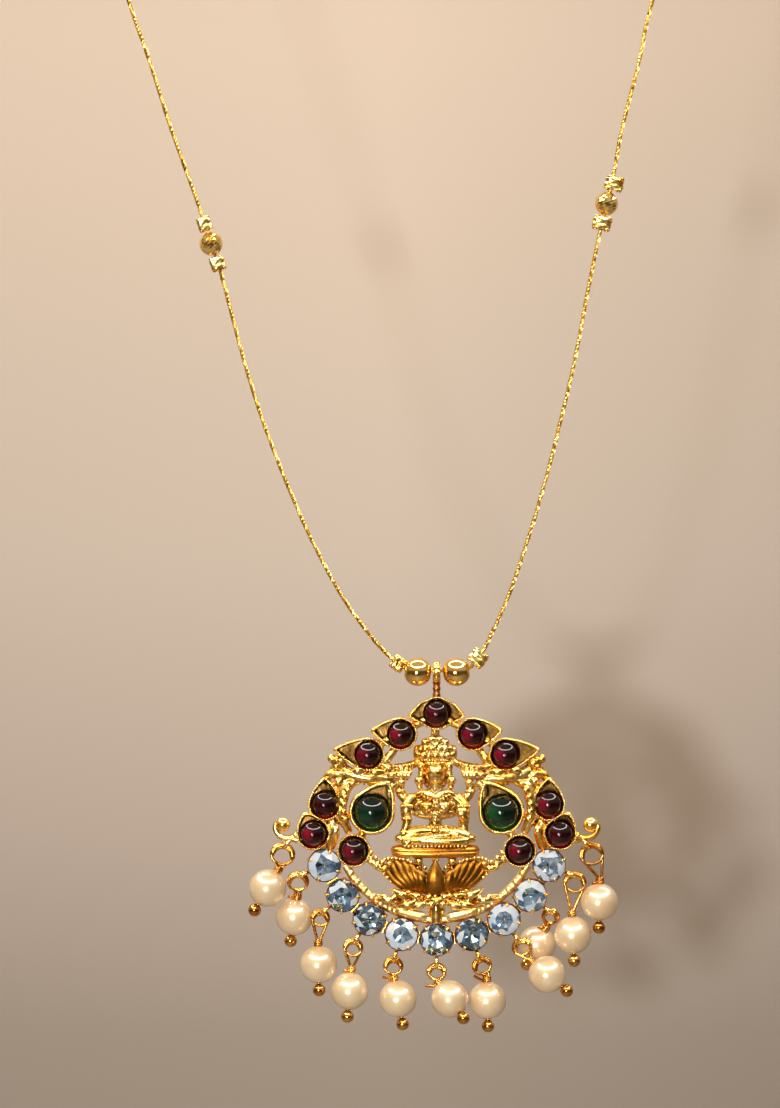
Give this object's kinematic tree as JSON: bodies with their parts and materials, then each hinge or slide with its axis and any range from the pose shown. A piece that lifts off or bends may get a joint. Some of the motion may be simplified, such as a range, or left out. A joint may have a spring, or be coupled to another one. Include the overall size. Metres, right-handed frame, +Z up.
{
  "type": "temple necklace",
  "caption": "Necklace whose pierced, stone-set goddess pendant with pearl drops hangs by a bail on a thin gold cable with drilled beads and crimps.",
  "frame": {"origin": "middle of the clasp at the back of the loop, at the wearer's nape", "axes": "+Z up with the necklace hanging, +X to the viewer's right, the pendant's front faces -Y"},
  "size_m": [0.1076, 0.1091, 0.1825],
  "materials": {
    "cable": "twisted, gold plated",
    "fittings": "polished, gold plated",
    "frame": "cast and polished, gold plated",
    "red_stone": "polished dome",
    "green_stone": "polished dome",
    "clear_stone": "faceted, foiled behind",
    "pins": "gold plated wire",
    "pearls": "pearl coat"
  },
  "bodies": {
    "necklace": {"strand": "cable", "barrel_clasp": "fittings", "crimp_left_upper": "fittings", "crimp_left_lower": "fittings", "crimp_right_upper": "fittings", "crimp_right_lower": "fittings", "crimp_centre_left": "fittings", "crimp_centre_right": "fittings", "bead_side_left": "fittings", "bead_side_right": "fittings", "bead_centre_left": "fittings", "bead_centre_right": "fittings"},
    "pendant": {"pendant_frame": "frame", "ruby_1": "red_stone", "ruby_2": "red_stone", "ruby_3": "red_stone", "ruby_4": "red_stone", "ruby_5": "red_stone", "ruby_6": "red_stone", "ruby_7": "red_stone", "ruby_8": "red_stone", "ruby_9": "red_stone", "ruby_10": "red_stone", "ruby_11": "red_stone", "green_left": "green_stone", "green_right": "green_stone", "crystal_1": "clear_stone", "crystal_2": "clear_stone", "crystal_3": "clear_stone", "crystal_4": "clear_stone", "crystal_5": "clear_stone", "crystal_6": "clear_stone", "crystal_7": "clear_stone", "crystal_8": "clear_stone", "crystal_9": "clear_stone", "headpin_1": "pins", "headpin_2": "pins", "headpin_3": "pins", "headpin_4": "pins", "headpin_5": "pins", "headpin_6": "pins", "headpin_7": "pins", "headpin_8": "pins", "headpin_9": "pins", "headpin_10": "pins", "headpin_11": "pins", "pearl_1": "pearls", "pearl_2": "pearls", "pearl_3": "pearls", "pearl_4": "pearls", "pearl_5": "pearls", "pearl_6": "pearls", "pearl_7": "pearls", "pearl_8": "pearls", "pearl_9": "pearls", "pearl_10": "pearls", "pearl_11": "pearls"}
  },
  "joints": [
    {"name": "pendant_swing", "type": "hinge", "parent": "necklace", "child": "pendant", "pos_m": [0.005, -0.103, -0.142], "axis": [1, 0, 0], "range_deg": [-90, 90]}
  ]
}
